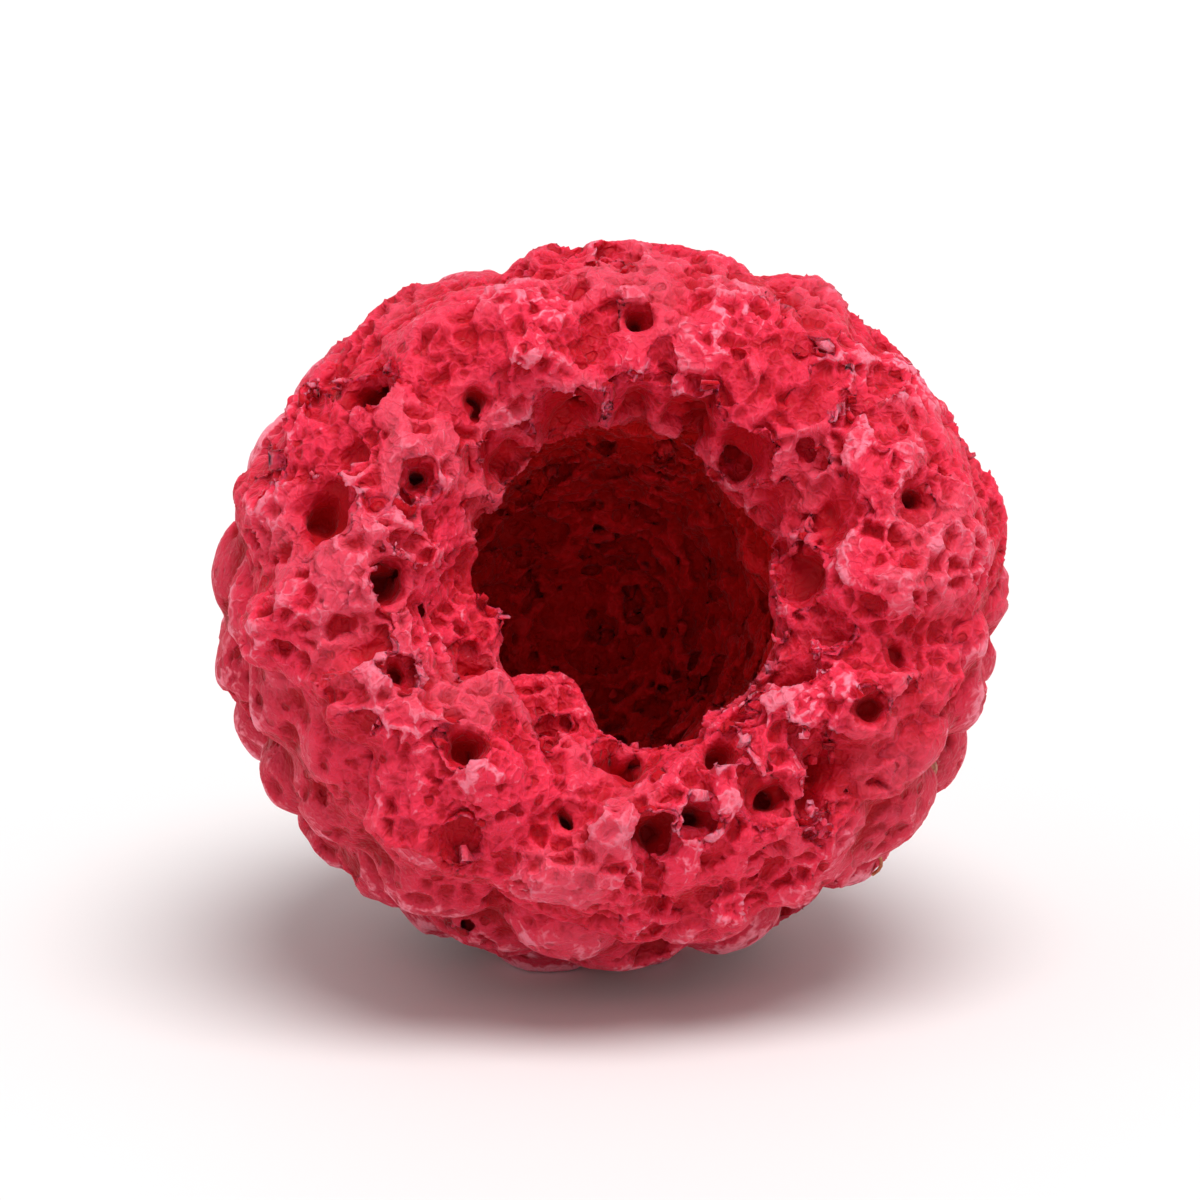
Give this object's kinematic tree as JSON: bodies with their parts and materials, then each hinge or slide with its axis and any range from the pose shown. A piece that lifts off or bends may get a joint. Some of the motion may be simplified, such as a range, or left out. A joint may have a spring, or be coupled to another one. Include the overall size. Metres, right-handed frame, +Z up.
{
  "type": "freeze-dried raspberry",
  "caption": "Freeze-dried raspberry lying on its side: a thick cup of fused drupelets with an open, deep hollow where the core was.",
  "frame": {"origin": "middle of the underside of the berry's box, on the surface it lies on", "axes": "+Z up; the hollow opens towards -Y and is tipped 23 degrees upwards; +X to the right when looking into the hollow"},
  "size_m": [0.0188, 0.0182, 0.0176],
  "materials": {
    "dried_flesh": "matte, brittle, porous freeze-dried fruit flesh",
    "dried_styles": "dull orange-brown dried threads",
    "seeds": "hard, pale tan, finely pitted"
  },
  "bodies": {
    "root": {"raspberry": "dried_flesh"}
  },
  "joints": []
}
